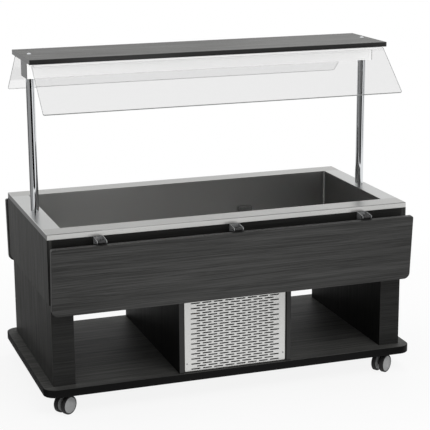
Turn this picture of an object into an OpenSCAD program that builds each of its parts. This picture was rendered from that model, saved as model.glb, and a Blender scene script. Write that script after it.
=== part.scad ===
// Mobile refrigerated salad bar: a well under a lit canopy, on a cabinet with casters.
// X runs along the length, Y from the front to the rear, Z up from the floor.

/* [Well and rim] */
// Length of the well
well_l = 1356; // [1100:2:1700]
// Width of the well
well_w = 580; // [500:2:660]
// Depth of the well
well_d = 215; // [160:1:240]
// Width of the rim at each end of the well
rim_end = 72; // [66:1:90]
// Width of the rim in front of the well and behind it
rim_side = 86; // [76:1:110]
// Height of the rim's turned-down lip
rim_lip = 21; // [12:1:26]
// Height of the upper box, with the rim
box_h = 278; // [265:1:320]
// Thickness of the steel sheet
sheet_t = 1.5; // [1:0.1:2]
// Diameter of the evaporator's tube
coil_d = 9.5; // [6:0.5:10]

/* [Walls and base] */
// Clear height of the storage bays
bay_h = 336; // [290:1:420]
// Thickness of each hollow side wall
wall_t = 88; // [70:1:110]
// Set-back of the side walls from the box's ends
wall_in_x = 10; // [4:1:14]
// Set-back of the side walls from the box's front and rear
wall_in_y = 16; // [6:1:40]
// Thickness of the laminated panels
board_t = 19; // [16:1:22]
// Reach of the base board past the side walls, at the ends
base_out_x = 41; // [20:1:60]
// Reach of the base board past the side walls, front and rear
base_out_y = 44; // [38:1:70]
// Thickness of the base board
base_t = 32; // [26:1:40]
// Radius of the base board's corners
base_corner_r = 50; // [20:1:60]

/* [Machine bay] */
// Width over the machine bay's two panels
machine_w = 475; // [420:1:560]
// Reach of the machine bay's panels past the side walls, front and rear
bay_out = 35; // [20:1:38]
// Gap between a grille and the panels beside it
grille_gap = 5; // [2:0.5:8]
// Set-back of the grilles from the panels' front edges
grille_inset = 5; // [2:0.5:10]
// Thickness of the grille sheet
grille_t = 1.5; // [1:0.1:2]
// Length of one grille slot
slot_l = 39; // [20:1:41]
// Height of one grille slot
slot_h = 5; // [3:0.5:6]
// Distance from slot to slot along a row
slot_pitch = 48; // [44:1:52]
// Distance from row to row
row_pitch = 10.5; // [9:0.5:14]
// Height of the controls' panel at the rear
control_h = 128; // [110:1:150]

/* [Canopy] */
// Diameter of the posts
post_d = 34; // [28:1:35]
// Clearance between the posts and the box's end boards
post_gap = 1; // [0.5:0.5:8]
// Clear height from the rim to the lamp housing
post_clear = 544; // [400:2:700]
// Distance that the canopy board falls short of the rim, at each end
canopy_in = 2.5; // [0:0.5:4]
// Width of the canopy board
canopy_w = 336; // [300:2:400]
// Thickness of the canopy board
canopy_t = 19; // [16:1:25]
// Distance that the lamp housing reaches past the posts
lamp_over = 6; // [4:1:12]
// Width of the lamp housing
lamp_w = 106; // [80:2:140]
// Height of the lamp housing
lamp_h = 70; // [50:2:80]
// Distance that a glass falls short of the canopy board, at each end
glass_in = 10; // [2:0.5:20]
// Height of each glass, measured on its slope
glass_h = 244; // [160:2:260]
// Thickness of each glass
glass_t = 6; // [4:1:8]
// Slope of the glasses from upright
glass_slope = 49; // [20:1:55]
// Distance from the canopy board's side to each glass's top edge
glass_y = 13; // [10:1:50]

/* [Side leaves] */
// Height of each leaf, measured from its top edge
leaf_h = 270; // [220:2:290]
// Thickness of each leaf
leaf_t = 22; // [18:1:25]
// Radius of a leaf's lower corners
leaf_r = 25; // [10:1:40]
// Inward tilt of a hanging leaf, in degrees
leaf_tilt = 4.5; // [3:0.5:6]
// Distance from the box to the hinge pins
hinge_reach = 50; // [42:1:60]
// Drop from the rim's top to the hinge pins
hinge_drop = 33; // [30:1:40]
// Distance between neighbouring hinges
hinge_pitch = 550; // [400:5:640]
// Diameter of the hinge pins
pin_d = 6; // [5:0.5:8]
// Width over a hinge bracket's cheeks
bracket_w = 40; // [34:1:50]

/* [Casters] */
// Height from the floor to the base board
caster_h = 81; // [80:1:100]
// Diameter of the wheels
wheel_d = 75; // [60:1:76]
// Width of one wheel
wheel_w = 18; // [14:0.5:22]
// Gap between the two wheels of a caster
wheel_gap = 19; // [17:0.5:34]
// Distance from the swivel axis to the axle
trail = 20; // [16:1:30]
// Turn of the casters about their swivel axes, in degrees
caster_turn = 34; // [0:1:90]
// Distance from the base board's end to a swivel axis
caster_in_x = 101; // [90:1:180]
// Distance from the base board's front or rear to a swivel axis
caster_in_y = 55; // [50:1:90]

/* [Hidden] */
$fn = 64;

// Clearances
run_fit = 0.05;      // radial, a pin or shaft in its bore
slip = 0.3;          // a piece that is pushed into place
free_gap = 1;        // beside a moving piece

// Lengths and widths, from the well outwards
rim_l = well_l + 2 * rim_end;
rim_w = well_w + 2 * rim_side;
wall_span = rim_l - 2 * wall_in_x;
wall_w = rim_w - 2 * wall_in_y;
base_l = wall_span + 2 * base_out_x;
base_w = wall_w + 2 * base_out_y;
machine_d = wall_w + 2 * bay_out;
canopy_l = rim_l - 2 * canopy_in;
glass_l = canopy_l - 2 * glass_in;
glass_top_y = canopy_w / 2 - glass_y;
leaf_l = rim_l;
caster_x = base_l / 2 - caster_in_x;
caster_y = base_w / 2 - caster_in_y;

// Heights
base_top = caster_h + base_t;
box_bottom = base_top + bay_h;
rim_top = box_bottom + box_h;
lamp_bottom = rim_top + post_clear;
canopy_under = lamp_bottom + lamp_h;
well_floor = rim_top - well_d;
liner_under = well_floor - sheet_t;

// Upper box
end_x = rim_l / 2 - board_t;
post_x = end_x - post_gap - post_d / 2;
apron_y = rim_w / 2 - board_t;
bolt_head_d = 14;
bolt_head_h = 6;
foam_side = 42;
foam_x = post_x - post_d / 2 - 2;
foam_y = well_w / 2 + foam_side;
coil_space = coil_d + 2.5;
foam_floor = liner_under - coil_space;
foam_top = rim_top - rim_lip;

// Machine bay
bay_in = machine_w / 2 - board_t;
grille_w = 2 * (bay_in - grille_gap);
grille_y = machine_d / 2 - grille_inset;
grille_bottom = base_top + 4;
batten_w = 22;
batten_d = 20;
grille_edge = 8.2;
front_grille_h = bay_h - 6;
control_bottom = box_bottom - 2 - control_h;
rear_grille_h = control_bottom - 2 - grille_bottom;
control_rise = 52;
control_z = control_bottom + control_rise;
screw_edge = 9;
screw_rise = 32;

// Controls, on the rear panel
thermo_x = -110;
thermo_w = 71;
thermo_h = 29;
thermo_d = 50;
rocker_xs = [30, 78];
rocker_w = 22;
rocker_r = 11;
rocker_pin_d = 3;
rocker_turn = 14;
gland_x = 150;
gland_d = 20;
cable_d = 8;

// Well fittings; the drain comes down into the right-hand bay
drain_out = 64;
drain_in = 114;
drain_x = machine_w / 2 + drain_out;
drain_y = well_w / 2 - drain_in;
drain_d = 26;
drain_pipe_d = 28;
drain_hole = drain_pipe_d + 4;
valve_z = box_bottom - 34;
lever_l = 84;
lever_pin_d = 8;
stem_y = 34;
stem_in = 14;
probe_in = 387;
probe_x = well_l / 2 - probe_in;
probe_w = 62;
probe_h = 26;
probe_d = 16;
probe_drop = 129;

// Evaporator and refrigerant lines; hole_gap is the play around a line where it passes through
coil_runs = 6;
coil_in_x = 75;
coil_in_y = 70;
coil_x = well_l / 2 - coil_in_x;
coil_span = well_w - 2 * coil_in_y;
coil_pitch = coil_span / (coil_runs - 1);
coil_z = liner_under - slip - coil_d / 2;
coil_bend = 25;
hole_gap = 2;
line_hole = coil_d + 2 * hole_gap;
drop_gap = 43.5;
drop_x = drop_gap - bay_in;
liquid_rise = 215;
liquid_z = base_top + liquid_rise;
suction_gap = 21.5;
suction_x = bay_in - suction_gap;
suction_bend = coil_bend - 2;

// Condenser, fan and compressor; the compressor's rear port faces the last run of the coil
port_l = 12;
port_d = 14;
cond_set = 80;
cond_y = cond_set - machine_d / 2;
cond_gap = 88.5;
cond_w = 2 * (bay_in - cond_gap);
cond_d = 50;
cond_h = 262;
cond_fins = 14;
shroud_y = cond_y + cond_d / 2 + slip;
shroud_t = 2;
collar_l = 40;
collar_t = 3;
fan_rise = 135;
fan_z = base_top + fan_rise;
fan_d = 220;
fan_gap = 5;
fan_set = 22;
fan_y = cond_y + cond_d / 2 + fan_set;
fan_shaft_d = 8;
hub_d = 50;
blade_w = 52;
motor_d = 72;
motor_l = 60;
comp_gap = 158.5;
comp_x = bay_in - comp_gap;
comp_d = 170;
comp_h = 175;
comp_foot = 12;
terminal_w = 60;
terminal_t = 18;
terminal_rise = 40;
line_rise = 15;
comp_y = coil_span / 2 - comp_d / 2 - port_l - coil_bend - line_rise;
port_rise = 140;
comp_port_z = base_top + port_rise;

// Hinges
pin_y = rim_w / 2 + hinge_reach;
pin_z = rim_top - hinge_drop;
cheek_t = 3;
cheek_r = pin_d / 2 + 4;
leaf_off = cheek_r + free_gap;
knuckle_r = pin_d / 2 + 3.5;
knuckle_w = bracket_w - 2 * cheek_t - 6;
plate_t = 2.5;
plate_h = 45;

// Lamp and glass
lamp_cap_t = 2;
lamp_l = 2 * (post_x + post_d / 2 + lamp_over);
lamp_lip = 8;
post_end = 30;
diffuser_t = 3;
diffuser_in = 8;
led_in = 20;
led_w = 24;
led_t = 10;
led_pitch = 60;
rail_h = 12;
rail_w = 16;
stud_d = 8;

// Casters
wheel_r = wheel_d / 2;
wheel_play = 0.5;
tread = 6;
crown = 3;
axle_d = 8;
king_d = 8;
pin_low = wheel_r + 14;
boss_r = wheel_gap / 2 - wheel_play;
hub_r = 12;
arm_w = wheel_gap - 6;
plate_side = 60;
plate_sheet = 2.5;
plate_z = caster_h - plate_sheet;
race_t = 2;
race_d = 24;
race_z = plate_z - race_t;

// ---------- shared shapes ----------

// Rectangle with round corners, centred
module round_rect(l, w, r) {
    square([l - 2 * r, w], center = true);
    square([l, w - 2 * r], center = true);
    for (sx = [-1, 1], sy = [-1, 1])
        translate([sx * (l / 2 - r), sy * (w / 2 - r)]) circle(r);
}

// Box centred in X and Y, from z up
module slab(l, w, h) {
    translate([-l / 2, -w / 2, 0]) cube([l, w, h]);
}

module at_casters() {
    for (sx = [-1, 1], sy = [-1, 1])
        translate([sx * caster_x, sy * caster_y, 0]) children();
}

// Straight round bar from a to b, along one axis
module bar(a, b, d) {
    v = b - a;
    len = norm(v);
    if (len > 0.001)
        translate(a)
            rotate([0, acos(v[2] / len), atan2(v[1], v[0])])
                cylinder(d = d, h = len);
}

function unit(v) = v / norm(v);

// Quarter bend at corner p, from direction u into direction v
module bend(p, u, v, r, d) {
    c = p - u * r + v * r;
    w = cross(u, v);
    multmatrix([
        [-v[0], u[0], w[0], c[0]],
        [-v[1], u[1], w[1], c[1]],
        [-v[2], u[2], w[2], c[2]],
        [0, 0, 0, 1]
    ])
        rotate_extrude(angle = 90) translate([r, 0]) circle(d = d);
}

// Tube through points joined at right angles
module pipe(pts, r, d) {
    last = len(pts) - 1;
    for (i = [0 : last - 1]) {
        dir = unit(pts[i + 1] - pts[i]);
        a = pts[i] + (i == 0 ? 0 : r) * dir;
        b = pts[i + 1] - (i == last - 1 ? 0 : r) * dir;
        bar(a, b, d);
    }
    for (i = [1 : last - 1])
        bend(pts[i], unit(pts[i] - pts[i - 1]), unit(pts[i + 1] - pts[i]), r, d);
}

// ---------- base and walls ----------

module base_board() {
    color("#2f2f2f")
        translate([0, 0, caster_h])
            linear_extrude(base_t) round_rect(base_l, base_w, base_corner_r);
}

// Hollow wall: two faces and two edges, open where the boards above and below close it,
// with a pocket in its outer board for the head of the post's bolt
module wall() {
    pocket_d = bolt_head_d + 4;
    pocket_h = bolt_head_h + 2;
    translate([(wall_span - wall_t) / 2, 0, base_top])
        difference() {
            slab(wall_t, wall_w, bay_h);
            translate([0, 0, -1]) slab(wall_t - 2 * board_t, wall_w - 2 * board_t, bay_h + 2);
            translate([post_x - (wall_span - wall_t) / 2, 0, bay_h - pocket_h])
                cylinder(d = pocket_d, h = pocket_h + 1);
        }
}

module left_wall() {
    color("#333333") mirror([1, 0, 0]) wall();
}

module right_wall() {
    color("#333333") wall();
}

module bay_panels() {
    color("#2b2b2b")
        for (s = [-1, 1])
            translate([s * (machine_w - board_t) / 2, 0, base_top])
                slab(board_t, machine_d, bay_h);
}

// ---------- grilles and controls ----------

module slot() {
    square([slot_l - slot_h, slot_h], center = true);
    for (s = [-1, 1])
        translate([s * (slot_l - slot_h) / 2, 0]) circle(d = slot_h, $fn = 16);
}

// Slotted sheet of height h; alternate rows are shifted by half a pitch
module grille_sheet(h) {
    rows = floor((h - 2 * grille_edge) / row_pitch) + 1;
    cols = floor((grille_w - 2 * screw_edge - slot_l) / slot_pitch) + 1;
    linear_extrude(grille_t)
        difference() {
            translate([-grille_w / 2, 0]) square([grille_w, h]);
            for (i = [0 : rows - 1]) {
                n = cols - i % 2;
                for (j = [0 : n - 1])
                    translate([(j - (n - 1) / 2) * slot_pitch, grille_edge + i * row_pitch]) slot();
            }
        }
}

module front_grille() {
    color("#cfcfcf")
        translate([0, -grille_y + grille_t, grille_bottom])
            rotate([90, 0, 0]) grille_sheet(front_grille_h);
}

module rear_grille() {
    color("#cfcfcf")
        translate([0, grille_y, grille_bottom])
            rotate([90, 0, 0]) grille_sheet(rear_grille_h);
}

// Battens on the bay's panels, behind the edges of both grilles
module grille_battens() {
    color("#262626")
        for (sx = [-1, 1], sy = [-1, 1])
            translate([
                sx * (bay_in - batten_w / 2),
                sy * (grille_y - grille_t - batten_d / 2),
                base_top
            ])
                slab(batten_w, batten_d, bay_h);
}

module control_panel() {
    color("#c4c4c4")
        difference() {
            translate([-grille_w / 2, grille_y - grille_t, control_bottom])
                cube([grille_w, grille_t, control_h]);
            translate([thermo_x, grille_y, control_z])
                cube([thermo_w + 2 * slip, 10, thermo_h + 2 * slip], center = true);
            for (x = rocker_xs)
                translate([x, grille_y, control_z])
                    cube([rocker_w + 8 + 2 * slip, 10, 2 * rocker_r + 8 + 2 * slip], center = true);
            translate([gland_x, grille_y, control_z])
                rotate([90, 0, 0]) cylinder(d = gland_d + 2 * slip, h = 10, center = true);
        }
}

module thermostat() {
    key_w = 10;
    color("#202020") {
        translate([thermo_x, grille_y - thermo_d / 2, control_z])
            cube([thermo_w, thermo_d, thermo_h], center = true);
        difference() {
            translate([thermo_x - thermo_w / 2 - 4, grille_y, control_z - thermo_h / 2 - 4])
                cube([thermo_w + 8, 4, thermo_h + 8]);
            translate([thermo_x - thermo_w / 2 + 4, grille_y + 2.5, control_z - 6])
                cube([thermo_w - 22, 4, 16]);
        }
        for (i = [0 : 3])
            translate([thermo_x - 26 + i * 14, grille_y + 4, control_z - 15])
                cube([key_w, 0.8, 5]);
    }
}

// Frame of a rocker switch, with the bores that carry the rocker's pins
module switch_frame() {
    w = rocker_w + 8;
    h = 2 * rocker_r + 8;
    difference() {
        union() {
            translate([-w / 2, -24, -h / 2]) cube([w, 24, h]);
            translate([-w / 2 - 3, 0, -h / 2 - 3]) cube([w + 6, 2, h + 6]);
        }
        translate([-rocker_w / 2 - slip, -16, -rocker_r - slip])
            cube([rocker_w + 2 * slip, 20, 2 * (rocker_r + slip)]);
        translate([0, -4, 0])
            rotate([0, 90, 0])
                cylinder(d = rocker_pin_d + 2 * run_fit, h = rocker_w + 5, center = true);
    }
}

module switch_frames() {
    color("#1c1c1c")
        for (x = rocker_xs)
            translate([x, grille_y, control_z]) switch_frame();
}

// Rocker: two faces that meet at a shallow angle, on two short pins
module rocker() {
    face = rocker_r - 0.6;
    rise = face * tan(rocker_turn / 2);
    rotate([0, 90, 0]) cylinder(d = rocker_pin_d, h = rocker_w + 4.4, center = true);
    rotate([rocker_turn / 2, 0, 0])
        translate([-rocker_w / 2, 0, 0])
            rotate([90, 0, 90])
                linear_extrude(rocker_w)
                    intersection() {
                        polygon([
                            [-8, -face], [5 + rise, -face], [5, 0], [5 + rise, face], [-8, face]
                        ]);
                        circle(rocker_r);
                    }
}

module power_rocker() {
    color("#2c6e3f") translate([rocker_xs[0], grille_y - 4, control_z]) rocker();
}

module light_rocker() {
    color("#222222") translate([rocker_xs[1], grille_y - 4, control_z]) rocker();
}

module cable_gland() {
    nut_d = gland_d + 7;
    color("#2a2a2a")
        translate([gland_x, grille_y, control_z])
            rotate([-90, 0, 0])
                difference() {
                    union() {
                        translate([0, 0, -16]) cylinder(d = gland_d, h = 17);
                        cylinder(d = nut_d, h = 6, $fn = 6);
                        translate([0, 0, 6]) cylinder(d = gland_d + 2, h = 10);
                        translate([0, 0, -grille_t - 5]) cylinder(d = nut_d, h = 5, $fn = 6);
                    }
                    translate([0, 0, -17]) cylinder(d = cable_d, h = 40);
                }
}

// ---------- upper box ----------

// Long board of the box; its top edge is cut back behind the rim's lip
module apron() {
    difference() {
        translate([-end_x, -rim_w / 2, box_bottom])
            cube([2 * end_x, board_t, box_h - sheet_t]);
        translate([-end_x - 1, -rim_w / 2 - 1, rim_top - rim_lip])
            cube([2 * end_x + 2, 1 + sheet_t, rim_lip + 1]);
    }
}

module front_apron() {
    color("#272727") apron();
}

module rear_apron() {
    color("#272727") mirror([0, 1, 0]) apron();
}

// End board of the box; the rim's lip wraps three of its top edges
module end_panel() {
    difference() {
        translate([-rim_l / 2, -rim_w / 2, box_bottom])
            cube([board_t, rim_w, box_h - sheet_t]);
        translate([-rim_l / 2 - 1, -rim_w / 2 - 1, rim_top - rim_lip])
            cube([1 + sheet_t, rim_w + 2, rim_lip + 1]);
        for (s = [-1, 1])
            translate([-rim_l / 2 - 1, s * (rim_w / 2 - sheet_t / 2 + 0.5), rim_top - rim_lip])
                translate([0, -(sheet_t + 1) / 2, 0])
                    cube([board_t + 2, sheet_t + 1, rim_lip + 1]);
    }
}

module left_end_panel() {
    color("#454543") end_panel();
}

module right_end_panel() {
    color("#454543") mirror([1, 0, 0]) end_panel();
}

module well_base() {
    color("#3a3a3a")
        difference() {
            translate([0, 0, box_bottom]) slab(2 * end_x, 2 * apron_y, board_t);
            for (s = [-1, 1])
                translate([s * post_x, 0, box_bottom - 1])
                    cylinder(d = stud_d + 2 * slip, h = board_t + 2);
            translate([drain_x, drain_y, box_bottom - 1])
                cylinder(d = drain_hole, h = board_t + 2);
            for (s = [-1, 1])
                translate([drop_x, s * coil_span / 2, box_bottom - 1])
                    cylinder(d = line_hole, h = board_t + 2);
        }
}

// Folded steel rim: flat top, turned-down lip, cut-out for the well
module steel_rim() {
    color("#c8c8c8")
        difference() {
            translate([0, 0, rim_top - rim_lip]) slab(rim_l, rim_w, rim_lip);
            translate([0, 0, rim_top - rim_lip - 1])
                slab(rim_l - 2 * sheet_t, rim_w - 2 * sheet_t, rim_lip + 1 - sheet_t);
            translate([0, 0, rim_top - rim_lip - 1]) slab(well_l, well_w, rim_lip + 2);
            for (s = [-1, 1])
                translate([s * post_x, 0, rim_top - rim_lip])
                    cylinder(d = post_d + 2 * slip, h = rim_lip + 1);
        }
}

module well_liner() {
    color("#4a4a4a")
        difference() {
            translate([0, 0, liner_under])
                slab(well_l + 2 * sheet_t, well_w + 2 * sheet_t, well_d);
            translate([0, 0, well_floor]) slab(well_l, well_w, well_d);
            translate([drain_x, drain_y, liner_under - 1]) cylinder(d = drain_d, h = sheet_t + 2);
        }
}

// Foam jacket under and around the liner, bored for the drain and slotted for the lines' bends
module insulation() {
    color("#d9c987")
        difference() {
            translate([0, 0, box_bottom + board_t])
                slab(2 * foam_x, 2 * foam_y, foam_top - box_bottom - board_t);
            translate([0, 0, foam_floor])
                slab(well_l + 2 * (sheet_t + slip), well_w + 2 * (sheet_t + slip), box_h);
            translate([drain_x, drain_y, box_bottom]) cylinder(d = drain_hole, h = box_h);
            for (s = [-1, 1])
                translate([drop_x - line_hole / 2, s * coil_span / 2 - line_hole / 2, box_bottom])
                    cube([line_hole + coil_bend, line_hole, box_h]);
        }
}

// ---------- cooling ----------

// Corner points of the run i of the evaporator
function coil_run(i) = let (
    y = -coil_span / 2 + i * coil_pitch,
    s = i % 2 == 0 ? 1 : -1,
    from = i == 0 ? drop_x : -s * coil_x,
    to = i == coil_runs - 1 ? drop_x : s * coil_x
) [[from, y, coil_z], [to, y, coil_z]];

// From the condenser up to the evaporator, back and forth, and down to the compressor
module copper_circuit() {
    front_y = -coil_span / 2;
    rear_y = coil_span / 2;
    color("#b06a3c") {
        pipe(
            concat(
                [[-cond_w / 2 - slip, cond_y, liquid_z], [drop_x, cond_y, liquid_z]],
                [[drop_x, front_y, liquid_z]],
                [for (i = [0 : coil_runs - 1]) each coil_run(i)],
                [[drop_x, rear_y, comp_port_z], [comp_x, rear_y, comp_port_z]],
                [[comp_x, comp_y + comp_d / 2 + port_l + slip, comp_port_z]]
            ),
            coil_bend, coil_d
        );
        pipe(
            [
                [comp_x + comp_d / 2 + port_l + slip, comp_y, comp_port_z],
                [suction_x, comp_y, comp_port_z],
                [suction_x, cond_y, comp_port_z],
                [cond_w / 2 + slip, cond_y, comp_port_z]
            ],
            suction_bend, coil_d
        );
    }
}

// Finned block, and behind it the baffle that closes the bay around the fan's collar
module condenser() {
    pitch = (cond_w - 4) / (cond_fins - 1);
    row_gap = 50;
    color("#9a9a9a")
        translate([0, cond_y, base_top]) {
            for (i = [0 : cond_fins - 1])
                translate([-cond_w / 2 + 2 + i * pitch, 0, 0])
                    slab(i == 0 || i == cond_fins - 1 ? 4 : 1, cond_d, cond_h);
            for (i = [0 : 4], s = [-1, 1])
                translate([0, s * cond_d / 4, (cond_h - 4 * row_gap) / 2 + i * row_gap])
                    rotate([0, 90, 0]) cylinder(d = coil_d, h = cond_w - 2, center = true);
        }
    color("#6f6f6f")
        difference() {
            union() {
                translate([slip - bay_in, shroud_y, base_top])
                    cube([2 * (bay_in - slip), shroud_t, bay_h - slip]);
                translate([0, shroud_y, fan_z])
                    rotate([-90, 0, 0]) cylinder(d = fan_d + 2 * (fan_gap + collar_t), h = collar_l);
            }
            translate([0, shroud_y - 1, fan_z])
                rotate([-90, 0, 0]) cylinder(d = fan_d + 2 * fan_gap, h = collar_l + 2);
            for (line = [[drop_x, liquid_z], [suction_x, comp_port_z]])
                translate([line[0], shroud_y - 1, line[1]])
                    rotate([-90, 0, 0]) cylinder(d = line_hole, h = shroud_t + 2);
        }
}

// Motor on a four-armed bracket that is screwed to the fan's collar
module fan_motor() {
    arm_y = shroud_y + collar_l;
    arm_w = 12;
    arm_l = (fan_d - motor_d) / 2 + fan_gap + collar_t;
    color("#3c3c3c")
        difference() {
            union() {
                translate([0, arm_y, fan_z]) rotate([-90, 0, 0]) cylinder(d = motor_d, h = motor_l);
                for (a = [45 : 90 : 315])
                    translate([0, arm_y, fan_z])
                        rotate([0, a, 0])
                            translate([motor_d / 2 - 4, 0, -arm_w / 2])
                                cube([arm_l + 4, 4, arm_w]);
            }
            translate([0, arm_y - 1, fan_z])
                rotate([-90, 0, 0]) cylinder(d = fan_shaft_d + 2 * run_fit, h = motor_l - 20);
        }
}

// Five pitched blades on a hub, with the shaft that turns in the motor
module fan_blades() {
    shaft_l = shroud_y + collar_l + motor_l - 25 - fan_y;
    color("#5a5a5a")
        translate([0, fan_y, fan_z])
            rotate([-90, 0, 0]) {
                translate([0, 0, -10]) cylinder(d = hub_d, h = 20);
                cylinder(d = fan_shaft_d, h = shaft_l);
                for (i = [0 : 4])
                    rotate([0, 0, i * 72])
                        translate([hub_d / 2 - 3, 0, 0])
                            rotate([28, 0, 0])
                                translate([0, -blade_w / 2, -0.8])
                                    cube([(fan_d - hub_d) / 2 - 1, blade_w, 1.6]);
            }
}

// Hermetic compressor: round shell on a foot plate, with two ports and a terminal box
module compressor() {
    r = comp_d / 2;
    foot_r = 25;
    dome_r = 55;
    dome_h = 45;
    shell_z = base_top + comp_foot;
    color("#1e1e1e")
        translate([comp_x, comp_y, 0]) {
            translate([0, 0, shell_z])
                rotate_extrude()
                    polygon(concat(
                        [[0, 0], [r - foot_r, 0]],
                        [for (a = [-90 : 15 : 0]) [r - foot_r + foot_r * cos(a), foot_r + foot_r * sin(a)]],
                        [for (a = [0 : 10 : 90])
                            [r - dome_r + dome_r * cos(a), comp_h - dome_h + dome_h * sin(a)]],
                        [[0, comp_h]]
                    ));
            translate([0, 0, shell_z - 4]) slab(comp_d + 20, comp_d - 20, 5);
            for (sx = [-1, 1], sy = [-1, 1])
                translate([sx * (r - 8), sy * (r - 24), base_top])
                    cylinder(d = 24, h = comp_foot - 3);
            translate([0, r - 6, comp_port_z])
                rotate([-90, 0, 0]) cylinder(d = port_d, h = 6 + port_l);
            translate([r - 6, 0, comp_port_z])
                rotate([0, 90, 0]) cylinder(d = port_d, h = 6 + port_l);
            translate([-r - terminal_t, -terminal_w / 2, shell_z + terminal_rise])
                cube([terminal_t + 12, terminal_w, terminal_w]);
        }
}

// ---------- well fittings ----------

// Drain pipe and ball valve with a plain outlet below; the stem's boss faces the rear
module drain_valve() {
    body_r = 22;
    body_h = 42;
    outlet_l = 26;
    low_z = valve_z - body_h / 2 - outlet_l;
    bore_d = drain_pipe_d - 6;
    color("#9c8a52")
        difference() {
            union() {
                translate([drain_x, drain_y, low_z])
                    cylinder(d = drain_pipe_d, h = liner_under - low_z);
                translate([drain_x, drain_y, valve_z - body_h / 2]) cylinder(r = body_r, h = body_h);
                translate([drain_x, drain_y, valve_z])
                    rotate([-90, 0, 0]) cylinder(d = 22, h = stem_y);
            }
            translate([drain_x, drain_y, low_z - 1])
                cylinder(d = bore_d, h = outlet_l + 7);
            translate([drain_x, drain_y, valve_z + 14])
                cylinder(d = bore_d, h = liner_under - valve_z);
            translate([drain_x, drain_y + stem_in, valve_z])
                rotate([-90, 0, 0]) cylinder(d = lever_pin_d + 2 * run_fit, h = stem_y);
        }
}

// Strainer in the well's drain: perforated disc with a collar that hangs in the hole
module drain_strainer() {
    hole_r = 2.5;
    color("#b5b5b5")
        translate([drain_x, drain_y, well_floor])
            difference() {
                union() {
                    cylinder(d = drain_d + 18, h = sheet_t);
                    translate([0, 0, -sheet_t]) cylinder(d = drain_d - 2 * slip, h = sheet_t);
                }
                for (a = [0 : 60 : 300])
                    rotate([0, 0, a])
                        translate([8, 0, -sheet_t - 1]) cylinder(r = hole_r, h = 2 * sheet_t + 2);
                translate([0, 0, -sheet_t - 1]) cylinder(r = hole_r, h = 2 * sheet_t + 2);
            }
}

module drain_lever() {
    y = drain_y + stem_y + free_gap;
    color("#b8342c") {
        translate([drain_x, drain_y + stem_in + 1, valve_z])
            rotate([-90, 0, 0]) cylinder(d = lever_pin_d, h = stem_y - stem_in + free_gap);
        translate([drain_x, y, valve_z])
            rotate([-90, 0, 0])
                linear_extrude(4) {
                    circle(d = 24);
                    translate([0, -8]) square([lever_l, 16]);
                    translate([lever_l, 0]) circle(d = 16);
                }
    }
}

// Folded cover over the temperature probe on the well's rear wall
module probe_cover() {
    wall = 2;
    color("#303030")
        translate([probe_x - probe_w / 2, well_w / 2 - probe_d, rim_top - probe_drop - probe_h])
            difference() {
                cube([probe_w, probe_d, probe_h]);
                translate([wall, wall, -1]) cube([probe_w - 2 * wall, probe_d, probe_h - wall + 1]);
            }
}

// ---------- posts, canopy and lamp ----------

module posts() {
    foot = box_bottom + board_t;
    top = canopy_under - sheet_t;
    color("#b9b9b9")
        for (s = [-1, 1])
            translate([s * post_x, 0, 0])
                difference() {
                    translate([0, 0, foot]) cylinder(d = post_d, h = top - foot);
                    translate([0, 0, foot + post_end])
                        cylinder(d = post_d - 2 * sheet_t, h = top - foot - 2 * post_end);
                    translate([0, 0, foot - 1]) cylinder(d = stud_d + 2 * slip, h = 26);
                    translate([0, 0, top - 25]) cylinder(d = stud_d + 2 * slip, h = 26);
                }
}

// A domed nut and stud on top of each post, and a bolt from below
module post_fixings() {
    foot = box_bottom + board_t;
    top = canopy_under - sheet_t;
    canopy_top = canopy_under + canopy_t;
    color("#d5d5d5")
        for (s = [-1, 1])
            translate([s * post_x, 0, 0]) {
                translate([0, 0, top - 22]) cylinder(d = stud_d, h = canopy_top - top + 24);
                translate([0, 0, canopy_top])
                    rotate_extrude()
                        polygon(concat(
                            [[0, 0], [9, 0], [9, 1]],
                            [for (a = [0 : 15 : 90]) [8 * cos(a), 1 + 5 * sin(a)]]
                        ));
                translate([0, 0, box_bottom - bolt_head_h])
                    cylinder(d = stud_d, h = foot - box_bottom + bolt_head_h + 20);
                translate([0, 0, box_bottom - bolt_head_h])
                    cylinder(d = bolt_head_d, h = bolt_head_h);
            }
}

module canopy_board() {
    color("#4a4a4a")
        difference() {
            translate([0, 0, canopy_under]) slab(canopy_l, canopy_w, canopy_t);
            for (s = [-1, 1])
                translate([s * post_x, 0, canopy_under - 1])
                    cylinder(d = stud_d + 2 * slip, h = canopy_t + 2);
        }
}

// Steel channel, open below between two inward lips
module lamp_housing() {
    l = lamp_l - 2 * lamp_cap_t;
    color("#e8e8e8")
        difference() {
            translate([0, 0, lamp_bottom]) slab(l, lamp_w, lamp_h);
            translate([0, 0, lamp_bottom + sheet_t])
                slab(l + 2, lamp_w - 2 * sheet_t, lamp_h - 2 * sheet_t);
            translate([0, 0, lamp_bottom - 1])
                slab(l + 2, lamp_w - 2 * sheet_t - 2 * lamp_lip, sheet_t + 2);
            for (s = [-1, 1])
                translate([s * post_x, 0, canopy_under - sheet_t - 1])
                    cylinder(d = stud_d + 2 * slip, h = sheet_t + 2);
        }
}

module lamp_end_caps() {
    color("#5c5c5c")
        for (s = [-1, 1])
            translate([s * (lamp_l - lamp_cap_t) / 2, 0, lamp_bottom])
                slab(lamp_cap_t, lamp_w, lamp_h);
}

module led_strip() {
    l = 2 * (post_x - post_d / 2 - led_in);
    chip = 6;
    rise = 2;
    color("#f4f0dc")
        translate([0, 0, canopy_under - sheet_t - led_t - rise]) {
            translate([0, 0, rise]) slab(l, led_w, led_t);
            for (x = [led_in - l / 2 : led_pitch : l / 2 - led_in])
                translate([x, 0, 0]) slab(chip, chip, rise);
        }
}

module lamp_diffuser() {
    color("#f2f2f2")
        translate([0, 0, lamp_bottom + sheet_t])
            slab(2 * (post_x - post_d / 2 - diffuser_in), lamp_w - 2 * (sheet_t + slip), diffuser_t);
}

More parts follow.
